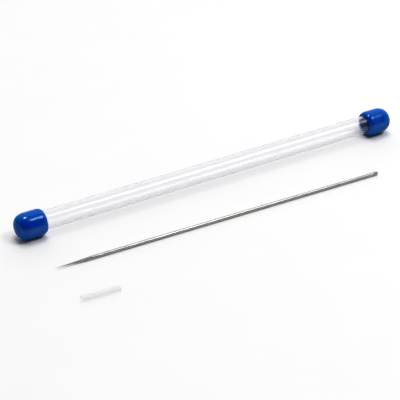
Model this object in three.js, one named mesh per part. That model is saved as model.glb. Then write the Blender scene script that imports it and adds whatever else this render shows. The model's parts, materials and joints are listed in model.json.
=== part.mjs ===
// A fine steel scratch awl needle, laid out beside its clear storage tube. A soft cap closes
// each end of the tube, and a short soft sleeve that guards the needle's point lies in front.
//
// Millimetres, +Z up. +X runs along the tube, towards the needle's flat rear end, and the
// needle and the tip guard lie on the -Y side of the tube. The origin is on the table, in the
// middle of the laid-out set. Every piece is a body of revolution, turned about its own +Y and
// then laid down along the table.
import * as THREE from 'three';

// Storage tube and caps
const TUBE_OUTER_RADIUS = 3.5;
const TUBE_WALL = 0.5;
const CAP_RADIUS = 4.9;
const CAP_LENGTH = 11.1;
const CAP_GRIP = 9.0; // length of tube held inside each cap
const CAP_BORE_CLEARANCE = 0.05; // radial, between bore and tube
const CAP_END_GAP = 0.3; // between the tube's end and the bore's end wall
const CAP_LIP_LENGTH = 2.1; // rounded rim, from the mouth to the full radius
const CAP_DOME_START = 6.1; // distance from the mouth to where the dome begins
const CAP_DOME_POWER = 2.6; // 2 is an ellipse, more is squarer
const SET_LENGTH = 164; // from one cap's dome to the other's

// Awl needle
const NEEDLE_RADIUS = 0.675;
const NEEDLE_LENGTH = 135;
const NEEDLE_TAPER = 14; // ground taper, from the point to the full radius
const POINT_RADIUS = 0.05;
const POINT_LENGTH = 0.4; // short final cone at the very tip
const REAR_CHAMFER = 0.1;

// Tip guard
const GUARD_RADIUS = 1.0;
const GUARD_BORE_RADIUS = 0.65; // a stretch fit on the needle
const GUARD_LENGTH = 14.2;

// Layout on the table
const SET_WIDTH = 53.1; // from the caps' outer sides to the tip guard's outer edge
const NEEDLE_TIP_X = -78.9;
const NEEDLE_TIP_Y = -2.6;
const NEEDLE_TURN = -1.76; // degrees from +X, seen from above
const GUARD_FRONT_X = -80.4;
const GUARD_TURN = -4.3;

// Smoothness
const TUBE_FACETS = 48; // shared by tube and caps, so that their facets line up
const THIN_FACETS = 24;
const LIP_STEPS = 5;
const DOME_STEPS = 11;

const radians = THREE.MathUtils.degToRad;
const profilePoint = (radius, along) => new THREE.Vector2(radius, along);

// Surface finishes
const finishes = {
  clearPlastic: new THREE.MeshStandardMaterial({
    color: 0xf2f4f6,
    roughness: 0.08,
    metalness: 0,
    transparent: true,
    opacity: 0.3,
  }),
  blueVinyl: new THREE.MeshStandardMaterial({ color: 0x0a3fa8, roughness: 0.28, metalness: 0 }),
  groundSteel: new THREE.MeshStandardMaterial({ color: 0x9a938c, roughness: 0.25, metalness: 1 }),
  softClear: new THREE.MeshStandardMaterial({
    color: 0xe6e8ea,
    roughness: 0.35,
    metalness: 0,
    transparent: true,
    opacity: 0.55,
  }),
};

// Turns a profile, given as radius and distance along the axis, into a named solid.
function turned(name, profile, facets, finish) {
  const mesh = new THREE.Mesh(new THREE.LatheGeometry(profile, facets), finish);
  mesh.name = name;
  return mesh;
}

// Lays a turned piece on its side: its own +Y points along the table, headingDegrees from +X.
function layDown(mesh, x, y, height, headingDegrees) {
  mesh.position.set(x, y, height);
  mesh.rotation.z = radians(headingDegrees - 90);
  return mesh;
}

// A tube's wall is a closed rectangle, so both of its ends stay open.
function sleeveProfile(innerRadius, outerRadius, length) {
  return [
    profilePoint(innerRadius, 0),
    profilePoint(outerRadius, 0),
    profilePoint(outerRadius, length),
    profilePoint(innerRadius, length),
    profilePoint(innerRadius, 0),
  ];
}

// The cap's mouth is at 0 and its dome points along +Y.
function capProfile() {
  const boreRadius = TUBE_OUTER_RADIUS + CAP_BORE_CLEARANCE;
  const boreDepth = CAP_GRIP + CAP_END_GAP;
  const lipHeight = CAP_RADIUS - boreRadius;
  const domeLength = CAP_LENGTH - CAP_DOME_START;
  const points = [profilePoint(0, boreDepth), profilePoint(boreRadius, boreDepth)];
  for (let step = 0; step <= LIP_STEPS; step += 1) {
    const angle = (step / LIP_STEPS) * (Math.PI / 2);
    const along = CAP_LIP_LENGTH * (1 - Math.cos(angle));
    points.push(profilePoint(boreRadius + lipHeight * Math.sin(angle), along));
  }
  for (let step = 0; step < DOME_STEPS; step += 1) {
    const angle = (step / DOME_STEPS) * (Math.PI / 2);
    const radius = CAP_RADIUS * Math.cos(angle) ** (2 / CAP_DOME_POWER);
    const along = CAP_DOME_START + domeLength * Math.sin(angle) ** (2 / CAP_DOME_POWER);
    points.push(profilePoint(radius, along));
  }
  points.push(profilePoint(0, CAP_LENGTH));
  return points;
}

// The needle's point is at 0 and its flat rear end is at NEEDLE_LENGTH.
function needleProfile() {
  return [
    profilePoint(0, 0),
    profilePoint(POINT_RADIUS, POINT_LENGTH),
    profilePoint(NEEDLE_RADIUS, NEEDLE_TAPER),
    profilePoint(NEEDLE_RADIUS, NEEDLE_LENGTH - REAR_CHAMFER),
    profilePoint(NEEDLE_RADIUS - REAR_CHAMFER, NEEDLE_LENGTH),
    profilePoint(0, NEEDLE_LENGTH),
  ];
}

const mouthX = SET_LENGTH / 2 - CAP_LENGTH;
const tubeY = SET_WIDTH / 2 - CAP_RADIUS;
const tubeHeight = CAP_RADIUS; // the caps rest on the table and hold the tube clear of it

function storageTube() {
  const length = 2 * (mouthX + CAP_GRIP);
  const profile = sleeveProfile(TUBE_OUTER_RADIUS - TUBE_WALL, TUBE_OUTER_RADIUS, length);
  const tube = turned('storage_tube', profile, TUBE_FACETS, finishes.clearPlastic);
  return layDown(tube, -length / 2, tubeY, tubeHeight, 0);
}

function endCap(name, x, headingDegrees) {
  const cap = turned(name, capProfile(), TUBE_FACETS, finishes.blueVinyl);
  return layDown(cap, x, tubeY, tubeHeight, headingDegrees);
}

function awlNeedle() {
  const needle = turned('awl_needle', needleProfile(), THIN_FACETS, finishes.groundSteel);
  return layDown(needle, NEEDLE_TIP_X, NEEDLE_TIP_Y, NEEDLE_RADIUS, NEEDLE_TURN);
}

// The guard's rear end swings out by its turn, and its outer edge there bounds the set.
function tipGuard() {
  const turn = radians(GUARD_TURN);
  const reach = GUARD_RADIUS * Math.cos(turn) - GUARD_LENGTH * Math.sin(turn);
  const profile = sleeveProfile(GUARD_BORE_RADIUS, GUARD_RADIUS, GUARD_LENGTH);
  const guard = turned('tip_guard', profile, THIN_FACETS, finishes.softClear);
  return layDown(guard, GUARD_FRONT_X, reach - SET_WIDTH / 2, GUARD_RADIUS, GUARD_TURN);
}

const awlSet = new THREE.Group();
awlSet.name = 'scratch_awl_set';
awlSet.add(
  storageTube(),
  endCap('front_cap', -mouthX, 180),
  endCap('rear_cap', mouthX, 0),
  awlNeedle(),
  tipGuard(),
);

export default awlSet;
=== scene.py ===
"""The looks of the fine scratch awl set: a steel needle, its clear storage tube with two blue
push-on caps, and a soft tip guard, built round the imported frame. Metres, +Z up."""

import json
import math

import bmesh
import bpy
from mathutils import Matrix, Vector


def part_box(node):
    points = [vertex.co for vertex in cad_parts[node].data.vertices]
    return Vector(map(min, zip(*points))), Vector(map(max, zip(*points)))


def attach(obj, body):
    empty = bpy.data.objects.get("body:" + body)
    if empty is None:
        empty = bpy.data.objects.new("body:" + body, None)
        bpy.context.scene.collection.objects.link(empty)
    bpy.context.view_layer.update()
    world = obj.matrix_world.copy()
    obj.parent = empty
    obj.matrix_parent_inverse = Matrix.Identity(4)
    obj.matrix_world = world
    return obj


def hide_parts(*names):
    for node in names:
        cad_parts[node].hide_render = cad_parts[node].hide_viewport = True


MM = 0.001

# Viewing angle and distance, and where the camera looks, from the middle of the set
VIEW_AZIMUTH = -31.7
VIEW_ELEVATION = 30.0
VIEW_DISTANCE = 578.3 * MM
VIEW_TARGET = Vector((-11.4, 12.15, 0.0)) * MM
SENSOR_WIDTH = 36.0
LENS = 140.8

# Surroundings: elevation of the brightest part, behind the set, and how they darken from there
SKY_ELEVATION = 10.0
SKY_EDGE = (0.3, 0.95)  # cosine of the angle where the darkening ends and where it starts
SKY_DARK = 0.04
SKY_BRIGHT = 1.3

# Shape details that the frame's boxes don't hold
TUBE_WALL = 0.5 * MM
TUBE_EDGE = 0.12 * MM  # rounding of the tube's cut edges
CAP_LIP = 2.1 * MM  # length of the cap's rounded rim
CAP_DOME_START = 6.1 * MM  # from the mouth to where the dome begins
CAP_DOME_POWER = 2.6
CAP_BORE_RADIUS = 3.55 * MM
CAP_BORE_DEPTH = 9.3 * MM
CAP_BORE_CORNER = 1.0 * MM  # rounding at the bottom of the bore
CAP_MOUTH_EDGE = 0.25 * MM  # rounding of the bore's edge at the mouth
NEEDLE_TAPER = 14.0 * MM
NEEDLE_POINT = 0.03 * MM  # radius of the needle's rounded point
NEEDLE_CHAMFER = 0.1 * MM
GUARD_BORE = 0.65 * MM
GUARD_EDGE = 0.06 * MM
GUARD_CUT = 2.5  # degrees that the guard's hand-cut ends lean

# Smoothness
TUBE_SEGMENTS = 160
THIN_SEGMENTS = 64
DOME_STEPS = 40

FLOOR_SIZE = 6.0
ON_AXIS = 1e-9  # a smaller radius is a single point on the axis

# A Mix node's sockets for colours
MIX_FIRST = 6
MIX_SECOND = 7
MIX_RESULT = 2


# ---------------------------------------------------------------- shapes


def arc(centre, radii, start, end, steps):
    """Points (along, radius) on an ellipse, from start to end in degrees."""
    points = []
    for step in range(steps + 1):
        angle = math.radians(start + (end - start) * step / steps)
        points.append((centre[0] + radii[0] * math.cos(angle), centre[1] + radii[1] * math.sin(angle)))
    return points


def spread(start, end, steps):
    """Evenly spaced points between start and end, without either end."""
    return [
        tuple(a + (b - a) * step / steps for a, b in zip(start, end)) for step in range(1, steps)
    ]


def revolve(name, profile, segments, closed=False):
    """A smooth solid turned round its own X from points (along, radius). A closed profile joins
    its last point to its first; an open one starts and ends on the axis."""
    mesh = bmesh.new()
    rings = []
    for along, radius in profile:
        if radius < ON_AXIS:
            rings.append([mesh.verts.new((along, 0.0, 0.0))])
            continue
        ring = []
        for k in range(segments):
            angle = 2 * math.pi * k / segments
            ring.append(mesh.verts.new((along, radius * math.cos(angle), radius * math.sin(angle))))
        rings.append(ring)
    pairs = list(zip(rings, rings[1:]))
    if closed:
        pairs.append((rings[-1], rings[0]))
    for first, second in pairs:
        for k in range(segments):
            corners = [
                first[k % len(first)],
                first[(k + 1) % segments % len(first)],
                second[(k + 1) % segments % len(second)],
                second[k % len(second)],
            ]
            mesh.faces.new(list(dict.fromkeys(corners)))
    bmesh.ops.recalc_face_normals(mesh, faces=mesh.faces)
    data = bpy.data.meshes.new(name)
    mesh.to_mesh(data)
    mesh.free()
    data.shade_smooth()
    piece = bpy.data.objects.new(name, data)
    bpy.context.scene.collection.objects.link(piece)
    return piece


def place(piece, origin, direction):
    """Puts the piece's own origin at origin and points its own X along direction."""
    x = Vector(direction).normalized()
    y = Vector((0, 0, 1)).cross(x).normalized()
    z = x.cross(y)
    piece.matrix_world = Matrix.Translation(origin) @ Matrix((x, y, z)).transposed().to_4x4()


def sleeve_profile(length, outer, inner, edge):
    """A tube's wall with rounded edges, closed on itself."""
    profile = []
    profile += arc((edge, inner + edge), (edge, edge), 270, 180, 4)
    profile += arc((edge, outer - edge), (edge, edge), 180, 90, 4)
    profile += spread((edge, outer), (length - edge, outer), 24)
    profile += arc((length - edge, outer - edge), (edge, edge), 90, 0, 4)
    profile += arc((length - edge, inner + edge), (edge, edge), 0, -90, 4)
    profile += spread((length - edge, inner), (edge, inner), 24)
    return profile


def cap_profile(length, radius):
    """A cap with its mouth at 0 and its dome at length, from the bottom of the bore outwards."""
    bore = CAP_BORE_RADIUS
    corner = CAP_BORE_CORNER
    edge = CAP_MOUTH_EDGE
    profile = [(CAP_BORE_DEPTH, 0.0)]
    profile += arc((CAP_BORE_DEPTH - corner, bore - corner), (corner, corner), 0, 90, 8)
    profile += spread((CAP_BORE_DEPTH - corner, bore), (edge, bore), 12)
    profile += arc((edge, bore + edge), (edge, edge), 270, 180, 5)
    profile += arc((CAP_LIP, bore + edge), (CAP_LIP, radius - bore - edge), 180, 90, 14)[1:]
    profile += spread((CAP_LIP, radius), (CAP_DOME_START, radius), 5)
    power = 2 / CAP_DOME_POWER
    for step in range(DOME_STEPS):
        angle = math.radians(90 * step / DOME_STEPS)
        along = CAP_DOME_START + (length - CAP_DOME_START) * math.sin(angle) ** power
        profile.append((along, radius * math.cos(angle) ** power))
    profile.append((length, 0.0))
    return profile


def build_tube():
    low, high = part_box("storage_tube")
    radius = (high.z - low.z) / 2
    profile = sleeve_profile(high.x - low.x, radius, radius - TUBE_WALL, TUBE_EDGE)
    tube = revolve("storage_tube_wall", profile, TUBE_SEGMENTS, closed=True)
    middle = (low + high) / 2
    place(tube, (low.x, middle.y, middle.z), (1, 0, 0))
    finish_piece(tube, "tube", "storage_tube", clear_tube_material())


def build_cap(node, body, outward, material):
    """A cap whose dome points along +X when outward is 1, and along -X when it is -1."""
    low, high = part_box(node)
    profile = cap_profile(high.x - low.x, (high.z - low.z) / 2)
    cap = revolve(node + "_shell", profile, TUBE_SEGMENTS)
    middle = (low + high) / 2
    mouth = low.x if outward > 0 else high.x
    place(cap, (mouth, middle.y, middle.z), (outward, 0, 0))
    finish_piece(cap, body, node, material)
    return cap


def build_needle():
    low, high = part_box("awl_needle")
    axis = joint_axis("needle_slide")
    rear = Vector(frame["record"]["mounts"][0]["pos_m"])
    length = (rear.x - low.x) / axis.x
    radius = (high.z - low.z) / 2
    profile = [(0.0, 0.0)]
    profile += arc((NEEDLE_POINT, 0.0), (NEEDLE_POINT, NEEDLE_POINT), 150, 90, 4)
    profile += spread((NEEDLE_POINT, NEEDLE_POINT), (NEEDLE_TAPER, radius), 28)
    profile += [(NEEDLE_TAPER, radius)]
    profile += spread((NEEDLE_TAPER, radius), (length - NEEDLE_CHAMFER, radius), 60)
    profile += arc(
        (length - NEEDLE_CHAMFER, radius - NEEDLE_CHAMFER), (NEEDLE_CHAMFER, NEEDLE_CHAMFER), 90, 0, 5
    )
    profile += [(length, 0.0)]
    needle = revolve("awl_needle_steel", profile, THIN_SEGMENTS)
    place(needle, rear - axis * length, axis)
    finish_piece(needle, "needle", "awl_needle", ground_steel_material())


def build_guard():
    """The sleeve's box holds it turned on the table, so its length is worked out from the turn."""
    low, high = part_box("tip_guard")
    axis = -joint_axis("guard_slide")
    radius = (high.z - low.z) / 2
    length = (high.x - low.x - 2 * radius * abs(axis.y)) / axis.x
    profile = sleeve_profile(length, radius, GUARD_BORE, GUARD_EDGE)
    guard = revolve("tip_guard_sleeve", profile, THIN_SEGMENTS, closed=True)
    lean = math.tan(math.radians(GUARD_CUT))
    for vertex in guard.data.vertices:
        towards_rear = vertex.co.x / length
        vertex.co.x += lean * (vertex.co.y * (1 - towards_rear) - vertex.co.z * towards_rear)
    place(guard, (low + high) / 2 - axis * length / 2, axis)
    finish_piece(guard, "tip_guard", "tip_guard", soft_guard_material())


def joint_axis(name):
    """The direction that the frame gives a joint."""
    joint = next(j for j in frame["joints"] if j["name"] == name)
    return Vector(joint["axis"]).normalized()


def finish_piece(piece, body, node, material):
    """Gives the piece its material and puts it on its body in place of the CAD node."""
    piece.data.materials.append(material)
    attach(piece, body)
    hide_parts(node)


# ---------------------------------------------------------------- materials


def new_material(name):
    material = bpy.data.materials.new(name)
    material.use_nodes = True
    tree = material.node_tree
    return material, tree, tree.nodes["Principled BSDF"]


def add_node(tree, kind, **values):
    """A node with its properties or its input sockets set by name."""
    node = tree.nodes.new(kind)
    for key, value in values.items():
        if key in node.inputs:
            node.inputs[key].default_value = value
        else:
            setattr(node, key, value)
    return node


def along_and_round(tree, along_scale, round_scale):
    """Coordinates on a turned piece: metres along its axis and radians round it, each scaled."""
    coordinates = add_node(tree, "ShaderNodeTexCoord")
    parts = add_node(tree, "ShaderNodeSeparateXYZ")
    turn = add_node(tree, "ShaderNodeMath", operation="ARCTAN2")
    along = add_node(tree, "ShaderNodeMath", operation="MULTIPLY")
    turns = add_node(tree, "ShaderNodeMath", operation="MULTIPLY")
    joined = add_node(tree, "ShaderNodeCombineXYZ")
    along.inputs[1].default_value = along_scale
    turns.inputs[1].default_value = round_scale
    link = tree.links.new
    link(coordinates.outputs["Object"], parts.inputs[0])
    link(parts.outputs["Z"], turn.inputs[0])
    link(parts.outputs["Y"], turn.inputs[1])
    link(parts.outputs["X"], along.inputs[0])
    link(turn.outputs[0], turns.inputs[0])
    link(along.outputs[0], joined.inputs["X"])
    link(turns.outputs[0], joined.inputs["Y"])
    return joined.outputs[0]


def inside_bore(tree):
    """1 on the wall of a cap's bore and 0 on its outside."""
    coordinates = add_node(tree, "ShaderNodeTexCoord")
    parts = add_node(tree, "ShaderNodeSeparateXYZ")
    across = add_node(tree, "ShaderNodeVectorMath", operation="MULTIPLY")
    radius = add_node(tree, "ShaderNodeVectorMath", operation="LENGTH")
    inside = add_node(tree, "ShaderNodeMath", operation="MINIMUM")
    across.inputs[1].default_value = (0.0, 1.0, 1.0)
    link = tree.links.new
    link(coordinates.outputs["Object"], across.inputs[0])
    link(across.outputs[0], radius.inputs[0])
    link(coordinates.outputs["Object"], parts.inputs[0])
    near_axis = (CAP_BORE_RADIUS + 0.1 * MM, CAP_BORE_RADIUS + 0.3 * MM)
    before_dome = (CAP_BORE_DEPTH + 0.2 * MM, CAP_BORE_DEPTH + 0.6 * MM)
    link(remap(tree, radius.outputs["Value"], 1.0, 0.0, near_axis), inside.inputs[0])
    link(remap(tree, parts.outputs["X"], 1.0, 0.0, before_dome), inside.inputs[1])
    return inside.outputs[0]


def noise(tree, vector, detail=3.0, scale=1.0, roughness=0.5):
    node = add_node(tree, "ShaderNodeTexNoise", Detail=detail, Scale=scale, Roughness=roughness)
    tree.links.new(vector, node.inputs["Vector"])
    return node.outputs["Fac"]


def object_space(tree, per_metre):
    """Coordinates on a piece, in its own axes, scaled."""
    coordinates = add_node(tree, "ShaderNodeTexCoord")
    mapping = add_node(tree, "ShaderNodeMapping", Scale=(per_metre,) * 3)
    tree.links.new(coordinates.outputs["Object"], mapping.inputs["Vector"])
    return mapping.outputs[0]


def remap(tree, value, low, high, source=(0.3, 0.7)):
    """Maps source, by default the range that most noise stays in, to low and high, and clamps."""
    node = add_node(tree, "ShaderNodeMapRange")
    node.inputs["From Min"].default_value = source[0]
    node.inputs["From Max"].default_value = source[1]
    node.inputs["To Min"].default_value = low
    node.inputs["To Max"].default_value = high
    tree.links.new(value, node.inputs["Value"])
    return node.outputs[0]


def bump(tree, height, depth, under=None):
    node = add_node(tree, "ShaderNodeBump", Distance=depth, Strength=1.0)
    tree.links.new(height, node.inputs["Height"])
    if under is not None:
        tree.links.new(under, node.inputs["Normal"])
    return node.outputs[0]


def colour_between(tree, value, first, second, source=(0.3, 0.7)):
    """The first colour at the start of source, the second at its end, and a blend between."""
    node = add_node(tree, "ShaderNodeMix", data_type="RGBA")
    tree.links.new(remap(tree, value, 0.0, 1.0, source), node.inputs["Factor"])
    node.inputs[MIX_FIRST].default_value = (*first, 1.0)
    node.inputs[MIX_SECOND].default_value = (*second, 1.0)
    return node.outputs[MIX_RESULT]


def let_light_through(tree, shader, tint, edge_tint, haze, haze_share):
    """Mixes a little milky haze into clear plastic, and lets the light that reaches the table
    pass straight through it, less of it where the wall is seen edge on."""
    link = tree.links.new
    output = tree.nodes["Material Output"]
    hazy = add_node(tree, "ShaderNodeMixShader")
    hazy.inputs[0].default_value = haze_share
    milk = add_node(tree, "ShaderNodeBsdfTranslucent", Color=(*haze, 1.0))
    link(shader.outputs[0], hazy.inputs[1])
    link(milk.outputs[0], hazy.inputs[2])
    path = add_node(tree, "ShaderNodeLightPath")
    lighting = add_node(tree, "ShaderNodeMath", operation="MAXIMUM")
    link(path.outputs["Is Shadow Ray"], lighting.inputs[0])
    link(path.outputs["Is Diffuse Ray"], lighting.inputs[1])
    facing = add_node(tree, "ShaderNodeLayerWeight").outputs["Facing"]
    clear = add_node(tree, "ShaderNodeBsdfTransparent")
    link(colour_between(tree, facing, tint, edge_tint, (0.2, 0.9)), clear.inputs["Color"])
    chosen = add_node(tree, "ShaderNodeMixShader")
    link(lighting.outputs[0], chosen.inputs[0])
    link(hazy.outputs[0], chosen.inputs[1])
    link(clear.outputs[0], chosen.inputs[2])
    link(chosen.outputs[0], output.inputs["Surface"])


def clear_tube_material():
    """Extruded clear plastic: faint die lines along it and light scuffs from handling."""
    material, tree, shader = new_material("clear_extruded_plastic")
    link = tree.links.new
    die_lines = noise(tree, along_and_round(tree, 1.0, 9.0), detail=3.0)
    fine_lines = noise(tree, along_and_round(tree, 12.0, 60.0), detail=2.0)
    scuffs = noise(tree, along_and_round(tree, 160.0, 9.0), detail=6.0, roughness=0.7)
    shader.inputs["Base Color"].default_value = (0.952, 0.949, 0.967, 1.0)
    shader.inputs["IOR"].default_value = 1.4
    shader.inputs["Specular Tint"].default_value = (0.62, 0.62, 0.62, 1.0)
    shader.inputs["Transmission Weight"].default_value = 1.0
    link(remap(tree, scuffs, 0.2, 0.28, (0.45, 0.75)), shader.inputs["Roughness"])
    coarse = bump(tree, die_lines, 0.02 * MM)
    link(bump(tree, fine_lines, 0.004 * MM, coarse), shader.inputs["Normal"])
    let_light_through(
        tree,
        shader,
        tint=(0.955, 0.955, 0.96),
        edge_tint=(0.75, 0.75, 0.77),
        haze=(0.8, 0.81, 0.83),
        haze_share=0.01,
    )
    return material


def blue_vinyl_material():
    """Soft glossy vinyl: fine orange peel, slow waves in the skin and finger smudges. Its colour
    holds a painted sheen, lighter where it turns away, and a painted glow in the bore, brighter as if light
    came through the wall."""
    deep_blue = (0.0, 0.018, 0.28)
    # painted sheen: the lighter blue where the skin turns away stands in for reflected surroundings
    painted_sheen_blue = (0.0, 0.068, 0.35)
    # painted light: the bore's brighter blue stands in for light coming through the wall
    bore_glow_blue = (0.0, 0.12, 0.82)
    material, tree, shader = new_material("blue_soft_vinyl")
    link = tree.links.new
    peel = noise(tree, object_space(tree, 2600.0), detail=2.0)
    waves = noise(tree, object_space(tree, 330.0), detail=2.0)
    smudges = noise(tree, object_space(tree, 420.0), detail=5.0, roughness=0.65)
    facing = add_node(tree, "ShaderNodeLayerWeight").outputs["Facing"]
    # painted sheen: the skin's blue lightens as it turns away, plus slow random waves in its tone
    sheen_and_waves = add_node(tree, "ShaderNodeMath", operation="ADD")
    link(facing, sheen_and_waves.inputs[0])
    link(remap(tree, waves, -0.05, 0.05), sheen_and_waves.inputs[1])
    skin = colour_between(tree, sheen_and_waves.outputs[0], deep_blue, painted_sheen_blue, (0.05, 0.45))
    # painted light: the bore's wall gets the brighter glow blue in place of the skin's colour
    tone = add_node(tree, "ShaderNodeMix", data_type="RGBA")
    link(inside_bore(tree), tone.inputs["Factor"])
    link(skin, tone.inputs[MIX_FIRST])
    tone.inputs[MIX_SECOND].default_value = (*bore_glow_blue, 1.0)
    link(tone.outputs[MIX_RESULT], shader.inputs["Base Color"])
    link(remap(tree, smudges, 0.1, 0.18), shader.inputs["Roughness"])
    link(remap(tree, facing, 0.65, 0.02, (0.15, 0.4)), shader.inputs["Specular IOR Level"])
    shader.inputs["Specular Tint"].default_value = (0.2, 0.5, 1.0, 1.0)
    slow = bump(tree, waves, 0.06 * MM)
    link(bump(tree, peel, 0.003 * MM, slow), shader.inputs["Normal"])
    return material


def ground_steel_material():
    """Polished steel: fine rings from grinding, and drawn lines along the shank."""
    material, tree, shader = new_material("ground_needle_steel")
    link = tree.links.new
    rings = noise(tree, along_and_round(tree, 14000.0, 1.5), detail=3.0)
    lines = noise(tree, along_and_round(tree, 30.0, 14.0), detail=4.0)
    tarnish = noise(tree, along_and_round(tree, 160.0, 1.2), detail=4.0)
    link(colour_between(tree, tarnish, (0.31, 0.29, 0.275), (0.4, 0.38, 0.37)), shader.inputs["Base Color"])
    link(remap(tree, lines, 0.16, 0.3), shader.inputs["Roughness"])
    shader.inputs["Metallic"].default_value = 1.0
    drawn = bump(tree, lines, 0.0015 * MM)
    link(bump(tree, rings, 0.0006 * MM, drawn), shader.inputs["Normal"])
    return material


def soft_guard_material():
    """Soft translucent tubing: satin skin, slightly milky, with faint lines along it."""
    material, tree, shader = new_material("soft_translucent_tubing")
    link = tree.links.new
    lines = noise(tree, along_and_round(tree, 8.0, 3.0), detail=3.0)
    dust = noise(tree, object_space(tree, 2200.0), detail=4.0)
    shader.inputs["Base Color"].default_value = (0.95, 0.95, 0.955, 1.0)
    shader.inputs["IOR"].default_value = 1.45
    shader.inputs["Transmission Weight"].default_value = 1.0
    link(remap(tree, dust, 0.27, 0.34), shader.inputs["Roughness"])
    link(bump(tree, lines, 0.005 * MM), shader.inputs["Normal"])
    let_light_through(
        tree,
        shader,
        tint=(0.96, 0.96, 0.965),
        edge_tint=(0.8, 0.8, 0.82),
        haze=(0.85, 0.86, 0.87),
        haze_share=0.05,
    )
    return material


def floor_material():
    """A matt white table top with a barely visible mottle."""
    material, tree, shader = new_material("pale_table")
    mottle = noise(tree, object_space(tree, 40.0), detail=2.0)
    tone = colour_between(tree, mottle, (0.85, 0.85, 0.85), (0.86, 0.86, 0.86))
    tree.links.new(tone, shader.inputs["Base Color"])
    shader.inputs["Roughness"].default_value = 0.6
    shader.inputs["Specular IOR Level"].default_value = 0.3
    return material


# ---------------------------------------------------------------- studio


def build_floor():
    bpy.ops.mesh.primitive_plane_add(size=FLOOR_SIZE, location=(0, 0, 0))
    floor = bpy.context.object
    floor.name = "floor"
    floor.data.materials.append(floor_material())


def soft_light(name, direction, distance, size, radiance, reflected=True, lights=True, only_for=()):
    """A flat soft box that faces the middle of the set. Its size is its width and its height.
    It shows in reflections if reflected, lights matt surfaces if lights, and reaches only the
    pieces in only_for if any are given."""
    data = bpy.data.lights.new(name, "AREA")
    data.shape = "RECTANGLE"
    data.size, data.size_y = size
    data.energy = radiance * math.pi * size[0] * size[1]
    lamp = bpy.data.objects.new(name, data)
    towards = Vector(direction).normalized()
    lamp.location = towards * distance
    lamp.rotation_euler = towards.to_track_quat("Z", "Y").to_euler()
    lamp.visible_glossy = reflected
    lamp.visible_transmission = reflected
    lamp.visible_diffuse = lights
    bpy.context.scene.collection.objects.link(lamp)
    if only_for:
        lit = bpy.data.collections.new(name + "_lights")
        for piece in only_for:
            lit.objects.link(piece)
        lamp.light_linking.receiver_collection = lit


def build_lamps(caps):
    """A broad lamp overhead gives most of the light, and a key lamp on the camera's side gives
    the highlights. A weak strip beside the key widens them a little, and the lamp named top adds
    highlights to the caps alone."""
    soft_light("overhead", (0.12, 0.17, 0.96), 1.6, (0.75, 0.92), 7.54, reflected=False)
    soft_light("key", (0.41, -0.3, 0.87), 1.4, (0.42, 0.36), 13.0)
    soft_light("strip", (0.52, -0.3, 0.8), 0.95, (0.4, 0.2), 1.5)
    soft_light("top", (-0.08, 0.25, 0.965), 0.9, (0.18, 0.18), 60.0, lights=False, only_for=caps)


def build_world():
    """White surroundings behind the set as the camera sees it, nearly black overhead and on the
    camera's side."""
    world = bpy.data.worlds.new("studio")
    bpy.context.scene.world = world
    world.use_nodes = True
    tree = world.node_tree
    background = tree.nodes["Background"]
    where = add_node(tree, "ShaderNodeTexCoord")
    azimuth = math.radians(VIEW_AZIMUTH)
    rise = math.tan(math.radians(SKY_ELEVATION))
    brightest = Vector((-math.sin(azimuth), math.cos(azimuth), rise)).normalized()
    facing = add_node(tree, "ShaderNodeVectorMath", operation="DOT_PRODUCT")
    facing.inputs[1].default_value = brightest
    tree.links.new(where.outputs["Generated"], facing.inputs[0])
    shade = add_node(tree, "ShaderNodeMapRange", interpolation_type="SMOOTHSTEP")
    shade.inputs["From Min"].default_value = SKY_EDGE[0]
    shade.inputs["From Max"].default_value = SKY_EDGE[1]
    shade.inputs["To Min"].default_value = SKY_DARK
    shade.inputs["To Max"].default_value = SKY_BRIGHT
    tree.links.new(facing.outputs["Value"], shade.inputs["Value"])
    tree.links.new(shade.outputs[0], background.inputs["Strength"])
    background.inputs["Color"].default_value = (1.0, 1.0, 1.0, 1.0)


def build_camera():
    azimuth = math.radians(VIEW_AZIMUTH)
    elevation = math.radians(VIEW_ELEVATION)
    back = Vector(
        (
            math.sin(azimuth) * math.cos(elevation),
            -math.cos(azimuth) * math.cos(elevation),
            math.sin(elevation),
        )
    )
    data = bpy.data.cameras.new("camera")
    data.sensor_width = SENSOR_WIDTH
    data.lens = LENS
    camera = bpy.data.objects.new("camera", data)
    camera.location = VIEW_TARGET + back * VIEW_DISTANCE
    camera.rotation_euler = back.to_track_quat("Z", "Y").to_euler()
    bpy.context.scene.collection.objects.link(camera)
    bpy.context.scene.camera = camera


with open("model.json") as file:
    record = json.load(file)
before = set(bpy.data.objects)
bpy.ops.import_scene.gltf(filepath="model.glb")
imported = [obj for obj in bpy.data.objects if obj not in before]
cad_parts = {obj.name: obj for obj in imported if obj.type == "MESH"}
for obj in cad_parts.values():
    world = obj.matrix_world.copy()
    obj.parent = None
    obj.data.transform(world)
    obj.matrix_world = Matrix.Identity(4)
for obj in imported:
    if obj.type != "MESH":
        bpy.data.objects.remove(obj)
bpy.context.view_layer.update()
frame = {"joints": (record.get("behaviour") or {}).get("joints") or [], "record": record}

build_tube()
vinyl = blue_vinyl_material()
caps = [
    build_cap("front_cap", "front_cap", -1, vinyl),
    build_cap("rear_cap", "rear_cap", 1, vinyl),
]
build_needle()
build_guard()

build_floor()
build_world()
build_lamps(caps)
build_camera()
bpy.context.scene.view_settings.view_transform = "Standard"
